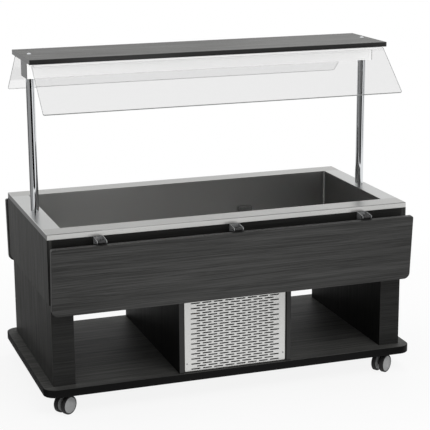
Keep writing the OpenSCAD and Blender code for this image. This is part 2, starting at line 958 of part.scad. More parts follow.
// Front glass, from its top edge down and outwards; extra thickens it for its rail's groove
module glass_blank(extra) {
    translate([0, -glass_top_y, canopy_under - 5])
        rotate([90 - glass_slope, 0, 0])
            translate([0, -glass_h / 2, -glass_t / 2 - extra])
                linear_extrude(glass_t + 2 * extra) round_rect(glass_l, glass_h, 6);
}

module front_glass() {
    color("#dfe8e8", 0.35) glass_blank(0);
}

module rear_glass() {
    color("#dfe8e8", 0.35) mirror([0, 1, 0]) glass_blank(0);
}

module glass_rails() {
    color("#dadada")
        for (s = [0, 1])
            mirror([0, s, 0])
                difference() {
                    translate([-glass_l / 2 + 8, -glass_top_y - rail_w / 2, canopy_under - rail_h])
                        cube([glass_l - 16, rail_w, rail_h]);
                    glass_blank(slip);
                }
}

// ---------- side leaves and their hinges ----------

// Places what is drawn from the hinge axis: X along the pin, Y up the leaf, Z out of its face
module on_leaf() {
    translate([0, -pin_y, pin_z])
        rotate([90 + leaf_tilt, 0, 0])
            children();
}

function hinge_xs() = [-hinge_pitch, 0, hinge_pitch];

module leaf() {
    top_r = 8;
    on_leaf()
        linear_extrude(leaf_t)
            translate([0, -leaf_off - leaf_h]) {
                translate([-leaf_l / 2 + leaf_r, 0]) square([leaf_l - 2 * leaf_r, leaf_h]);
                translate([-leaf_l / 2, leaf_r]) square([leaf_l, leaf_h - leaf_r - top_r]);
                translate([-leaf_l / 2 + top_r, leaf_h / 2]) square([leaf_l - 2 * top_r, leaf_h / 2]);
                for (s = [-1, 1]) {
                    translate([s * (leaf_l / 2 - leaf_r), leaf_r]) circle(leaf_r);
                    translate([s * (leaf_l / 2 - top_r), leaf_h - top_r]) circle(top_r);
                }
            }
}

module front_leaf() {
    color("#404040") leaf();
}

module rear_leaf() {
    color("#404040") mirror([0, 1, 0]) leaf();
}

// Knuckle and plate on the leaf's inner face, with two screw heads
module hinge_plate() {
    difference() {
        union() {
            rotate([0, 90, 0]) cylinder(r = knuckle_r, h = knuckle_w, center = true);
            translate([-knuckle_w / 2, -plate_h, -plate_t]) cube([knuckle_w, plate_h, plate_t]);
        }
        rotate([0, 90, 0]) cylinder(d = pin_d + 2 * run_fit, h = knuckle_w + 2, center = true);
    }
    for (y = [-18, -34])
        translate([0, y, -plate_t - 2]) cylinder(d = 9, h = 2);
}

module front_hinge_plates() {
    color("#a8a8a8") on_leaf() for (x = hinge_xs()) translate([x, 0, 0]) hinge_plate();
}

module rear_hinge_plates() {
    color("#a8a8a8")
        mirror([0, 1, 0]) on_leaf() for (x = hinge_xs()) translate([x, 0, 0]) hinge_plate();
}

// Folded bracket: a back plate on the apron and two cheeks that carry the pin
module hinge_bracket() {
    low = 18;
    high = hinge_drop - rim_lip - free_gap;
    translate([-bracket_w / 2, hinge_reach - cheek_t, -low])
        cube([bracket_w, cheek_t, low + high]);
    for (s = [-1, 1])
        translate([s * (bracket_w - cheek_t) / 2 - cheek_t / 2, 0, 0])
            rotate([90, 0, 90])
                linear_extrude(cheek_t)
                    difference() {
                        union() {
                            circle(cheek_r);
                            polygon([
                                [0, cheek_r], [0, -cheek_r],
                                [hinge_reach, -low], [hinge_reach, high]
                            ]);
                        }
                        circle(d = pin_d + 2 * run_fit);
                    }
}

module hinge_brackets() {
    color("#a8a8a8")
        for (m = [0, 1], x = hinge_xs())
            mirror([0, m, 0])
                translate([x, -pin_y, pin_z]) hinge_bracket();
}

module hinge_pins() {
    l = bracket_w + 4;
    color("#c9c9c9")
        for (m = [0, 1], x = hinge_xs())
            mirror([0, m, 0])
                translate([x, -pin_y, pin_z])
                    rotate([0, 90, 0]) {
                        cylinder(d = pin_d, h = l, center = true);
                        for (s = [-1, 1])
                            translate([0, 0, s * (l / 2 - 0.9)])
                                cylinder(d = pin_d + 4, h = 1.8, center = true);
                    }
}

// ---------- fasteners ----------

module screw_head(d, h) {
    rotate([90, 0, 0])
        difference() {
            cylinder(d = d, h = h);
            translate([0, 0, h / 2]) cube([d * 0.6, d * 0.14, h + 0.1], center = true);
        }
}

module panel_screws() {
    x = grille_w / 2 - screw_edge;
    color("#8c8c8c") {
        for (sx = [-1, 1], z = [grille_bottom + screw_rise, grille_bottom + front_grille_h - screw_rise])
            translate([sx * x, -grille_y, z]) screw_head(6, 1.6);
        for (sx = [-1, 1], z = [grille_bottom + screw_rise, grille_bottom + rear_grille_h - screw_rise])
            translate([sx * x, grille_y, z]) mirror([0, 1, 0]) screw_head(6, 1.6);
        for (sx = [-1, 1], z = [control_bottom + 12, control_bottom + control_h - 12])
            translate([sx * x, grille_y, z]) mirror([0, 1, 0]) screw_head(6, 1.6);
        for (m = [0, 1], hx = hinge_xs(), sx = [-1, 1])
            mirror([0, m, 0])
                translate([hx + sx * 9, -rim_w / 2 - cheek_t, pin_z - 4]) screw_head(7, 2);
    }
}

// ---------- casters ----------

// Fixed part of a caster: screwed plate, bearing race and king pin
module caster_plates() {
    color("#8f8f8f")
        at_casters() {
            translate([0, 0, plate_z]) slab(plate_side, plate_side, plate_sheet);
            translate([0, 0, race_z]) cylinder(d = race_d, h = race_t);
            translate([0, 0, pin_low]) cylinder(d = king_d, h = plate_z - pin_low);
        }
}

// Frame of a turned caster: origin on the swivel axis at the floor, +X towards the axle
module turned(sx, sy) {
    translate([sx * caster_x, sy * caster_y, 0])
        rotate([0, 0, 180 + caster_turn])
            children();
}

// Swivelling body: boss on the king pin, arm between the wheels, and the axle
module caster_body() {
    boss_z = wheel_r + 10;
    hub_l = wheel_gap - 2 * wheel_play;
    difference() {
        union() {
            translate([trail, 0, wheel_r])
                rotate([90, 0, 0]) {
                    cylinder(r = hub_r, h = hub_l, center = true);
                    cylinder(d = axle_d, h = wheel_gap + 2 * wheel_w - 2, center = true);
                }
            translate([0, 0, boss_z]) cylinder(r = boss_r, h = race_z - slip - boss_z);
            rotate([90, 0, 0])
                linear_extrude(arm_w, center = true)
                    polygon([
                        [-boss_r + 2, race_z - 3],
                        [boss_r - 2, race_z - 3],
                        [trail + hub_r - 1, wheel_r + 4],
                        [trail + hub_r - 2, wheel_r - 4],
                        [trail - hub_r + 2, wheel_r - 4],
                        [-boss_r + 2, boss_z + 4]
                    ]);
        }
        translate([0, 0, pin_low - 1]) cylinder(d = king_d + 2 * run_fit, h = wheel_d);
    }
}

// One wheel: grey disc and black tyre with chamfered edges; side is +1 or -1 along the axle
module caster_wheel(side) {
    translate([trail, side * (wheel_gap + wheel_w) / 2, wheel_r])
        rotate([90, 0, 0]) {
            color("#8f8f8f")
                difference() {
                    cylinder(r = wheel_r - tread, h = wheel_w - 1, center = true);
                    cylinder(d = axle_d + 2 * run_fit, h = wheel_w + 2, center = true);
                }
            color("#161616")
                rotate_extrude()
                    polygon([
                        [wheel_r - tread, -wheel_w / 2],
                        [wheel_r - crown, -wheel_w / 2],
                        [wheel_r, -wheel_w / 2 + crown],
                        [wheel_r, wheel_w / 2 - crown],
                        [wheel_r - crown, wheel_w / 2],
                        [wheel_r - tread, wheel_w / 2]
                    ]);
        }
}

module front_left_caster() {
    color("#1b1b1b") turned(-1, -1) caster_body();
}

module front_right_caster() {
    color("#1b1b1b") turned(1, -1) caster_body();
}

module rear_left_caster() {
    color("#1b1b1b") turned(-1, 1) caster_body();
}

module rear_right_caster() {
    color("#1b1b1b") turned(1, 1) caster_body();
}

base_board();
left_wall();
right_wall();
bay_panels();
grille_battens();
front_grille();
rear_grille();
control_panel();
thermostat();
switch_frames();
cable_gland();
front_apron();
rear_apron();
left_end_panel();
right_end_panel();
well_base();
steel_rim();
well_liner();
insulation();
copper_circuit();
drain_valve();
drain_strainer();
probe_cover();
posts();
post_fixings();
canopy_board();
lamp_housing();
lamp_end_caps();
led_strip();
lamp_diffuser();
front_glass();
rear_glass();
glass_rails();
compressor();
condenser();
fan_motor();
fan_blades();
caster_plates();
hinge_brackets();
hinge_pins();
panel_screws();
front_leaf();
rear_leaf();
front_hinge_plates();
rear_hinge_plates();
drain_lever();
power_rocker();
light_rocker();
front_left_caster();
front_right_caster();
rear_left_caster();
rear_right_caster();
turned(-1, -1) caster_wheel(1);  // front_left_wheel_a
turned(-1, -1) caster_wheel(-1);  // front_left_wheel_b
turned(1, -1) caster_wheel(1);  // front_right_wheel_a
turned(1, -1) caster_wheel(-1);  // front_right_wheel_b
turned(-1, 1) caster_wheel(1);  // rear_left_wheel_a
turned(-1, 1) caster_wheel(-1);  // rear_left_wheel_b
turned(1, 1) caster_wheel(1);  // rear_right_wheel_a
turned(1, 1) caster_wheel(-1);  // rear_right_wheel_b
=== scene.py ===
import math

import bpy
from mathutils import Euler, Matrix, Vector


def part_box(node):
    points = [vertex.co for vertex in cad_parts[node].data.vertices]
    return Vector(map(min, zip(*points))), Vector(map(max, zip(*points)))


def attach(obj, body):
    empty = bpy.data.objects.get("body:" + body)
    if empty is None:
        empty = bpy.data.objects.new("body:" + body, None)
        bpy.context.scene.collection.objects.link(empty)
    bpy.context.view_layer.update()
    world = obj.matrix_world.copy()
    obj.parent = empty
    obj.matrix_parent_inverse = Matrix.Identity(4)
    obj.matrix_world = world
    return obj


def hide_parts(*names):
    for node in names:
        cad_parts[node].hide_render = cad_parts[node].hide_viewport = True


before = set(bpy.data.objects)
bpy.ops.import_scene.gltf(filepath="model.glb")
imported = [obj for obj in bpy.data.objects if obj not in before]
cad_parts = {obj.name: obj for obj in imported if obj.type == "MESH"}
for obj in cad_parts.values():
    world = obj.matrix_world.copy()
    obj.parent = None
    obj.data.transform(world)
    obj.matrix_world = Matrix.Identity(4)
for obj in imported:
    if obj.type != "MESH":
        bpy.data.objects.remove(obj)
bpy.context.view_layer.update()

# ---------------------------------------------------------------------------
# Base board: thick chipboard faced with dark oak-grain laminate. Its sides and
# rounded corners are wrapped in a smooth edge band, and the walls stand on it.
# ---------------------------------------------------------------------------

MM = 0.001


def deselect():
    """Back to object mode with nothing selected."""
    if bpy.context.object and bpy.context.object.mode != "OBJECT":
        bpy.ops.object.mode_set(mode="OBJECT")
    bpy.ops.object.select_all(action="DESELECT")


def make_active(piece):
    """Selects one piece alone, for the operators that follow."""
    deselect()
    piece.select_set(True)
    bpy.context.view_layer.objects.active = piece


def board(name, low, high):
    """A block between two corners, with its place in its mesh."""
    deselect()
    low, high = Vector(low), Vector(high)
    bpy.ops.mesh.primitive_cube_add(size=1, location=(low + high) / 2)
    piece = bpy.context.object
    piece.name = name
    piece.scale = high - low
    bpy.ops.object.transform_apply(location=True, rotation=True, scale=True)
    return piece


def pick(piece, kind, test):
    """Opens edit mode with the vertices, edges or faces selected for which test is true."""
    make_active(piece)
    mesh = piece.data
    for group in (mesh.vertices, mesh.edges, mesh.polygons):
        group.foreach_set("select", [False] * len(group))
    at = mesh.vertices
    if kind == "VERT":
        for v in at:
            v.select = test(v.co)
    elif kind == "EDGE":
        for e in mesh.edges:
            e.select = test(at[e.vertices[0]].co, at[e.vertices[1]].co)
    else:
        for p in mesh.polygons:
            p.select = test(p.center, p.normal)
    bpy.context.tool_settings.mesh_select_mode = (kind == "VERT", kind == "EDGE", kind == "FACE")
    bpy.ops.object.mode_set(mode="EDIT")


def level_shading(piece):
    """Smooth shading that keeps the flat faces flat beside their rounded edges."""
    make_active(piece)
    bpy.ops.object.shade_smooth_by_angle(angle=math.radians(40))
    normals = piece.modifiers.new("flat_faces", "WEIGHTED_NORMAL")
    normals.keep_sharp = True
    bpy.ops.object.modifier_apply(modifier="flat_faces")


def soften(piece, width, steps=2, angle=35):
    """Rounds every edge sharper than angle, and shades the piece smooth between flat faces."""
    make_active(piece)
    bevel = piece.modifiers.new("edges", "BEVEL")
    bevel.width = width
    bevel.segments = steps
    bevel.limit_method = "ANGLE"
    bevel.angle_limit = math.radians(angle)
    bpy.ops.object.modifier_apply(modifier="edges")
    level_shading(piece)


def linear(code):
    """An sRGB hex colour as linear red, green, blue and 1."""
    parts = [int(code[i:i + 2], 16) / 255 for i in (1, 3, 5)]
    return [c / 12.92 if c <= 0.04045 else ((c + 0.055) / 1.055) ** 2.4 for c in parts] + [1.0]


def new_material(name):
    """An empty node material; its output is added by its last node."""
    made = bpy.data.materials.new(name)
    made.use_nodes = True
    made.node_tree.nodes.clear()
    return made


def node(material, kind, inputs=None, stops=None, **settings):
    """Adds one node with its settings, its values and its links, and its colour stops."""
    made = material.node_tree.nodes.new(kind)
    for key, value in settings.items():
        setattr(made, key, value)
    for key, value in (inputs or {}).items():
        if isinstance(value, bpy.types.NodeSocket):
            material.node_tree.links.new(value, made.inputs[key])
        else:
            made.inputs[key].default_value = value
    if stops:
        ramp = made.color_ramp.elements
        ramp[0].position, ramp[0].color = stops[0][0], linear(stops[0][1])
        ramp[1].position, ramp[1].color = stops[-1][0], linear(stops[-1][1])
        for place, code in stops[1:-1]:
            ramp.new(place).color = linear(code)
    return made


def paint(piece, choose, *materials):
    """Gives each face one of the materials: choose(centre, normal) returns its number."""
    piece.data.materials.clear()
    for m in materials:
        piece.data.materials.append(m)
    for p in piece.data.polygons:
        p.material_index = choose(p.center, p.normal)


# Melamine laminate with a printed and embossed oak grain: hairlines and pores of two
# greys, drawn 2.5 mm apart so that they show, some 30 cm long and wandering a little.
# The embossed film is matt and mirrors far less than plain resin would.
def laminate(name, along, dark, light, rough=0.5, shine=0.3):
    m = new_material(name)
    where = node(m, "ShaderNodeTexCoord").outputs["Object"]
    sizes = [1.6 if axis == along else 9.0 for axis in "XYZ"]
    wander = node(m, "ShaderNodeMapping", {"Vector": where, "Scale": sizes}).outputs[0]
    wave = node(m, "ShaderNodeTexNoise", {"Vector": wander, "Scale": 1.0, "Detail": 2.0}).outputs["Color"]
    shift = node(m, "ShaderNodeVectorMath", {0: wave, 1: (0.5, 0.5, 0.5)}, operation="SUBTRACT").outputs[0]
    small = node(m, "ShaderNodeVectorMath", {0: shift, "Scale": 0.012}, operation="SCALE").outputs[0]
    moved = node(m, "ShaderNodeVectorMath", {0: where, 1: small}).outputs[0]
    streaks = [3.4 if axis == along else 400.0 for axis in "XYZ"]
    fine = node(m, "ShaderNodeMapping", {"Vector": moved, "Scale": streaks}).outputs[0]
    grain = node(m, "ShaderNodeTexNoise", {"Vector": fine, "Scale": 1.0, "Detail": 4.0,
                                           "Roughness": 0.68}).outputs["Fac"]
    broad = [0.8 if axis == along else 60.0 for axis in "XYZ"]
    bands = node(m, "ShaderNodeMapping", {"Vector": moved, "Scale": broad}).outputs[0]
    tone = node(m, "ShaderNodeTexNoise", {"Vector": bands, "Scale": 1.0, "Detail": 2.0}).outputs["Fac"]
    both = node(m, "ShaderNodeMix", {"Factor": 0.24, "A": grain, "B": tone}).outputs["Result"]
    colour = node(m, "ShaderNodeValToRGB", {"Fac": both}, [(0.39, dark), (0.62, light)]).outputs["Color"]
    gloss = node(m, "ShaderNodeMapRange", {"Value": grain, "From Min": 0.35, "From Max": 0.65,
                                           "To Min": rough + 0.1, "To Max": rough - 0.06}).outputs[0]
    relief = node(m, "ShaderNodeBump", {"Height": grain, "Strength": 0.15, "Distance": 0.4 * MM}).outputs[0]
    shade = node(m, "ShaderNodeBsdfPrincipled", {"Base Color": colour, "Roughness": gloss, "Normal": relief,
                                                 "IOR": 1.45, "Specular IOR Level": shine}).outputs[0]
    node(m, "ShaderNodeOutputMaterial", {"Surface": shade})
    return m


# ABS edge band: extruded strip, ironed on and buffed, plain black to dark grey with the
# faint ripple that the trimming cutter leaves. The base's is matt, the canopy's and the
# bay panels' have a sheen.
def banding(name, dark, light, rough, shine):
    m = new_material(name)
    where = node(m, "ShaderNodeTexCoord").outputs["Object"]
    ripple = node(m, "ShaderNodeTexNoise", {"Vector": where, "Scale": 420.0, "Detail": 2.0}).outputs["Fac"]
    colour = node(m, "ShaderNodeValToRGB", {"Fac": ripple}, [(0.3, dark), (0.7, light)]).outputs[0]
    relief = node(m, "ShaderNodeBump", {"Height": ripple, "Strength": 0.08, "Distance": 0.2 * MM}).outputs[0]
    shade = node(m, "ShaderNodeBsdfPrincipled", {"Base Color": colour, "Roughness": rough, "IOR": 1.5,
                                                 "Specular IOR Level": shine, "Normal": relief}).outputs[0]
    node(m, "ShaderNodeOutputMaterial", {"Surface": shade})
    return m


edge_band = banding("abs_edge_band", "#0b0b0b", "#121211", 0.36, 0.5)
base_band = banding("abs_edge_band_matt", "#050505", "#0a0a0a", 0.6, 0.12)
laminate_base = laminate("oak_laminate_base", "X", "#2d2d2c", "#5a5a58", 0.55, 0.2)

CORNER_R, BASE_EDGE_R = 50 * MM, 2.5 * MM
low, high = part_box("base_board")
base = board("base_board_dressed", low, high)
pick(base, "EDGE", lambda a, b: abs(a.z - b.z) > 1 * MM)
bpy.ops.mesh.bevel(offset=CORNER_R, segments=14, affect="EDGES")
deselect()
soften(base, BASE_EDGE_R, 3)
paint(base, lambda c, n: 0 if n.z > 0.9 else 1, laminate_base, base_band)
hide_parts("base_board")
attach(base, "cabinet")

# ---------------------------------------------------------------------------
# Side walls: hollow boxes of 19 mm laminated board that carry the upper box. The
# grain stands upright on the broad faces and lies level across the narrow ones.
# ---------------------------------------------------------------------------

# The bays' inner faces get a darker tone and less shine: painted shade, for faces under the leaves that the
# lamps hardly reach.
laminate_z = laminate("oak_laminate_upright", "Z", "#161615", "#3c3c3a")
painted_shade_bay_laminate = laminate("oak_laminate_bay_painted_shade", "Z", "#070707", "#171716", 0.5, 0.08)
# The walls' front faces get a darker tone: painted shade, for the shadow of the leaves.
painted_shade_front_laminate = laminate("oak_laminate_wall_front_painted_shade", "X", "#141413", "#2f2f2e")

EDGE_R = 0.8 * MM
for name in ("left_wall", "right_wall"):
    low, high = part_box(name)
    wall = board(name + "_dressed", low, high)
    soften(wall, EDGE_R, 2)
    # Front faces take the darker front laminate and inner faces the bays' one: both carry painted shade.
    paint(wall, lambda c, n: 1 if abs(n.y) > 0.7 else 2 if c.x * n.x < 0 and abs(n.x) > 0.7 else 0,
          laminate_z, painted_shade_front_laminate, painted_shade_bay_laminate)
    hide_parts(name)
    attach(wall, "cabinet")

# ---------------------------------------------------------------------------
# Machine bay boards: two laminated boards on edge beside the grilles, with banded
# front and rear edges, screwed to the base and to the underside of the upper box.
# ---------------------------------------------------------------------------

low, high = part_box("bay_panels")
BOARD_T = 19 * MM
for side, x in (("left", low.x), ("right", high.x - BOARD_T)):
    bay = board("bay_panel_" + side, (x, low.y, low.z), (x + BOARD_T, high.y, high.z))
    soften(bay, EDGE_R, 2)
    # The broad faces take the bays' laminate with its painted shade.
    paint(bay, lambda c, n: 1 if abs(n.y) > 0.5 else 0, painted_shade_bay_laminate, edge_band)
    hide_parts("bay_panels")
    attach(bay, "cabinet")

# ---------------------------------------------------------------------------
# Upper box: four laminated boards around the well, glued at the corners under the
# steel rim's lip. The long ones hide behind the leaves, the ends show upright grain.
# ---------------------------------------------------------------------------


def cover(material, *names):
    """Gives whole CAD nodes one material."""
    for name in names:
        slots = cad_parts[name].data.materials
        slots.clear()
        slots.append(material)


# The aprons' laminate is darker as painted shade, for the shadow under the rim's lip and behind the leaves.
cover(laminate("oak_laminate_apron_painted_shade", "X", "#0d0d0c", "#232322"), "front_apron", "rear_apron")
cover(laminate("oak_laminate_end_panel", "Z", "#1f1f1e", "#464644"), "left_end_panel", "right_end_panel")

# Birch plywood, dyed dark through, rotary-cut face: soft broad figure, matt.
ply = new_material("dyed_plywood")
where = node(ply, "ShaderNodeTexCoord").outputs["Object"]
long = node(ply, "ShaderNodeMapping", {"Vector": where, "Scale": (3.0, 40.0, 40.0)}).outputs[0]
figure = node(ply, "ShaderNodeTexNoise", {"Vector": long, "Scale": 1.0, "Detail": 3.0}).outputs["Fac"]
colour = node(ply, "ShaderNodeValToRGB", {"Fac": figure}, [(0.35, "#1f1d1b"), (0.65, "#33302c")]).outputs[0]
shade = node(ply, "ShaderNodeBsdfPrincipled",
             {"Base Color": colour, "Roughness": 0.7, "IOR": 1.45}).outputs[0]
node(ply, "ShaderNodeOutputMaterial", {"Surface": shade})
cover(ply, "well_base", "grille_battens")

# ---------------------------------------------------------------------------
# Steel rim: one sheet of 1.5 mm stainless folded down on all four sides and cut out
# for the well, its corners welded and polished. Pans hang in it by their flanges.
# ---------------------------------------------------------------------------


# Brushed stainless steel: a 320-grit belt leaves fine scratches along one direction,
# drawn here about 2 mm apart so that they show. They spread highlights across them.
# Mill-finish aluminium and nickel-plated brass get the same lines in their own tones.
def brushed(name, along, tone, rough=0.3, depth=0.10):
    m = new_material(name)
    where = node(m, "ShaderNodeTexCoord").outputs["Object"]
    sizes = [4.0 if axis == along else 480.0 for axis in "XYZ"]
    fine = node(m, "ShaderNodeMapping", {"Vector": where, "Scale": sizes}).outputs[0]
    scratch = node(m, "ShaderNodeTexNoise", {"Vector": fine, "Scale": 1.0, "Detail": 3.0,
                                             "Roughness": 0.7}).outputs["Fac"]
    cloud = node(m, "ShaderNodeTexNoise", {"Vector": where, "Scale": 3.0, "Detail": 1.0}).outputs["Fac"]
    gloss = node(m, "ShaderNodeMath", {0: scratch, 1: 0.14, 2: rough - 0.07},
                 operation="MULTIPLY_ADD").outputs[0]
    uneven = node(m, "ShaderNodeMath", {0: cloud, 1: 0.06, 2: gloss}, operation="MULTIPLY_ADD").outputs[0]
    relief = node(m, "ShaderNodeBump",
                  {"Height": scratch, "Strength": depth, "Distance": 0.15 * MM}).outputs[0]
    shade = node(m, "ShaderNodeBsdfPrincipled", {"Base Color": linear(tone), "Metallic": 1.0,
                                                 "Roughness": uneven, "Normal": relief}).outputs[0]
    node(m, "ShaderNodeOutputMaterial", {"Surface": shade})
    return m


# Four tones of one steel, as painted reflection: each side of the rim mirrors another part of the room,
# and its tone stands in for what the studio's own boards leave lighter or darker.
rim_steel_x = brushed("brushed_stainless_lengthwise", "X", "#b0b0ae")
rim_steel_y_painted_reflection = brushed("brushed_stainless_crosswise_painted_reflection", "Y", "#c0c1c0")
lip_steel_painted_reflection = brushed("brushed_stainless_lip_painted_reflection", "X", "#d2d2d0", 0.26)
lip_end_steel_painted_reflection = brushed("brushed_stainless_end_lip_painted_reflection", "Y", "#7a7a79", 0.3)


def thicken(piece, thickness):
    """Gives an open skin the thickness of its sheet, inwards."""
    make_active(piece)
    sheet = piece.modifiers.new("sheet", "SOLIDIFY")
    sheet.thickness = thickness
    sheet.offset = -1
    bpy.ops.object.modifier_apply(modifier="sheet")
    level_shading(piece)


SHEET_T = 1.5 * MM
WELL_X, WELL_Y = 678 * MM, 290 * MM
FOLD_R = 2.2 * MM
low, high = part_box("steel_rim")
rim = board("steel_rim_dressed", low, high)
pick(rim, "FACE", lambda c, n: n.z < -0.9)
bpy.ops.mesh.delete(type="FACE")
deselect()
for axis, place in ((0, -WELL_X), (0, WELL_X), (1, -WELL_Y), (1, WELL_Y)):
    pick(rim, "FACE", lambda c, n: n.z > 0.9)
    spot, facing = [0, 0, high.z], [0, 0, 0]
    spot[axis], facing[axis] = place, 1
    bpy.ops.mesh.bisect(plane_co=spot, plane_no=facing)
    deselect()
pick(rim, "FACE", lambda c, n: n.z > 0.9 and abs(c.x) < WELL_X and abs(c.y) < WELL_Y)
bpy.ops.mesh.delete(type="FACE")
deselect()
soften(rim, FOLD_R, 4, 60)
thicken(rim, SHEET_T)
# Each face takes the painted-reflection tone of its place: lip front and rear, lip ends, top at the ends,
# top along the sides.
paint(rim, lambda c, n: (3 if abs(n.x) > 0.5 else 2) if abs(n.z) < 0.5 and high.z - c.z > 4 * MM else
      1 if abs(c.x) > WELL_X and abs(c.y) < abs(c.x) - (WELL_X - WELL_Y) else 0,
      rim_steel_x, rim_steel_y_painted_reflection, lip_steel_painted_reflection, lip_end_steel_painted_reflection)
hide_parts("steel_rim")
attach(rim, "cabinet")

# ---------------------------------------------------------------------------
# Well: a deep-drawn and welded stainless tub with small radii in its corners, open
# at the top and hung under the rim. It is dark because it mirrors its own walls.
# ---------------------------------------------------------------------------

well_steel = brushed("satin_stainless_tub", "X", "#bcbcbb", 0.36, 0.06)
# The tub's end walls get a darker tone: painted shade.
well_end_steel_painted_shade = brushed("satin_stainless_end_wall_painted_shade", "Z", "#7e7e7d", 0.36, 0.06)
WELL_CORNER_R = 8 * MM
low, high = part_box("well_liner")
tub = board("well_liner_dressed", (-WELL_X, -WELL_Y, low.z + SHEET_T), (WELL_X, WELL_Y, high.z))
pick(tub, "FACE", lambda c, n: n.z > 0.9)
bpy.ops.mesh.delete(type="FACE")
deselect()
pick(tub, "EDGE", lambda a, b: abs(a.z - b.z) > 0.01 or max(a.z, b.z) < low.z + 0.01)
bpy.ops.mesh.bevel(offset=WELL_CORNER_R, segments=6, affect="EDGES")
bpy.ops.mesh.select_all(action="SELECT")
bpy.ops.mesh.flip_normals()
deselect()
thicken(tub, SHEET_T)
paint(tub, lambda c, n: 1 if abs(n.x) > 0.9 else 0, well_steel, well_end_steel_painted_shade)
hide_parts("well_liner")
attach(tub, "cabinet")

cover(rim_steel_x, "drain_strainer")

# ---------------------------------------------------------------------------
# Probe cover: a small folded cap of dark sheet on the rear wall of the well, over
# the temperature probe, open at its foot so that air reaches it.
# ---------------------------------------------------------------------------


# Polyester powder coat, and other thick films such as enamel, dip and black passivation:
# smooth, with a slight orange peel, 3 mm across. The glow is painted light on parts near the lamp that are
# no lamp.
def coated(name, tone, rough=0.35, glow=0.0):
    m = new_material(name)
    where = node(m, "ShaderNodeTexCoord").outputs["Object"]
    peel = node(m, "ShaderNodeTexNoise", {"Vector": where, "Scale": 330.0, "Detail": 1.0}).outputs["Fac"]
    gloss = node(m, "ShaderNodeMapRange", {"Value": peel, "To Min": rough - 0.04,
                                           "To Max": rough + 0.04}).outputs[0]
    relief = node(m, "ShaderNodeBump", {"Height": peel, "Strength": 0.06, "Distance": 0.2 * MM}).outputs[0]
    shade = node(m, "ShaderNodeBsdfPrincipled", {"Base Color": linear(tone), "Roughness": gloss,
                                                 "Normal": relief, "IOR": 1.5,
                                                 "Emission Color": (1, 1, 1, 1),
                                                 "Emission Strength": glow}).outputs[0]
    node(m, "ShaderNodeOutputMaterial", {"Surface": shade})
    return m


dark_coat = coated("dark_grey_sheet_coat", "#5c5c5b", 0.4)
COVER_T = 1.2 * MM
low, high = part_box("probe_cover")
cap = board("probe_cover_dressed", low, high)
pick(cap, "FACE", lambda c, n: n.z < -0.9 or n.y > 0.9)
bpy.ops.mesh.delete(type="FACE")
deselect()
soften(cap, 1.6 * MM, 3, 60)
thicken(cap, COVER_T)
paint(cap, lambda c, n: 0, dark_coat)
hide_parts("probe_cover")
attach(cap, "cabinet")

# ---------------------------------------------------------------------------
# Grilles and control panel: 1.5 mm stainless sheets, punched with staggered round-
# ended slots and screwed to battens. Air is drawn in at the front, out at the rear.
# ---------------------------------------------------------------------------

cover(brushed("brushed_stainless_punched", "X", "#d6d6d4", 0.32),
      "front_grille", "rear_grille", "control_panel")

# Zinc-plated mild steel: barrel-plated small parts, greyish, with a cloudy bloom.
zinc = new_material("zinc_plated_steel")
where = node(zinc, "ShaderNodeTexCoord").outputs["Object"]
bloom = node(zinc, "ShaderNodeTexNoise", {"Vector": where, "Scale": 90.0, "Detail": 3.0}).outputs["Fac"]
colour = node(zinc, "ShaderNodeValToRGB", {"Fac": bloom}, [(0.35, "#8e8f90"), (0.65, "#a9aaab")]).outputs[0]
gloss = node(zinc, "ShaderNodeMapRange", {"Value": bloom, "To Min": 0.26, "To Max": 0.44}).outputs[0]
shade = node(zinc, "ShaderNodeBsdfPrincipled", {"Base Color": colour, "Metallic": 1.0,
                                                "Roughness": gloss}).outputs[0]
node(zinc, "ShaderNodeOutputMaterial", {"Surface": shade})
cover(zinc, "panel_screws", "caster_plates")

# ---------------------------------------------------------------------------
# Controls on the rear panel: a panel thermostat with a dark window, its front frame and
# four keys grey, two snap-in rocker switches, and a polyamide gland for the cable.
# ---------------------------------------------------------------------------


# Moulded plastic or rubber with a fine spark-eroded texture. It is drawn three times as
# coarse as its grit in millimetres, 1.5 mm across on most pieces, so that it shows.
def moulded(name, tone, rough=0.45, grit=0.5):
    m = new_material(name)
    where = node(m, "ShaderNodeTexCoord").outputs["Object"]
    spark = node(m, "ShaderNodeTexNoise", {"Vector": where, "Scale": 1.0 / (grit * MM * 3),
                                           "Detail": 2.0}).outputs["Fac"]
    gloss = node(m, "ShaderNodeMapRange", {"Value": spark, "To Min": rough - 0.06,
                                           "To Max": rough + 0.06}).outputs[0]
    relief = node(m, "ShaderNodeBump", {"Height": spark, "Strength": 0.10, "Distance": 0.1 * MM}).outputs[0]
    shade = node(m, "ShaderNodeBsdfPrincipled", {"Base Color": linear(tone), "Roughness": gloss,
                                                 "Normal": relief, "IOR": 1.5}).outputs[0]
    node(m, "ShaderNodeOutputMaterial", {"Surface": shade})
    return m


black_plastic = moulded("black_polyamide", "#191919")
smoked = moulded("smoked_acrylic_window", "#0b0b0c", 0.12)
keys_grey = moulded("grey_silicone_keys", "#6d6f70", 0.6)
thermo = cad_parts["thermostat"]
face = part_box("thermostat")
paint(thermo, lambda c, n: 2 if c.y > face[1].y - 0.9 * MM else
      1 if n.y > 0.9 and c.y < face[1].y - 2 * MM and c.y > face[1].y - 4 * MM else 0,
      black_plastic, smoked, keys_grey)
cover(black_plastic, "switch_frames", "cable_gland")
cover(moulded("green_polycarbonate", "#1f6b35", 0.22), "power_rocker")
cover(moulded("gloss_black_polycarbonate", "#141414", 0.22), "light_rocker")

# ---------------------------------------------------------------------------
# Posts: chromed steel tubes that run from the box bottom up into the lamp housing.
# A stud with a domed nut holds each to the canopy board, a bolt to the box bottom.
# ---------------------------------------------------------------------------

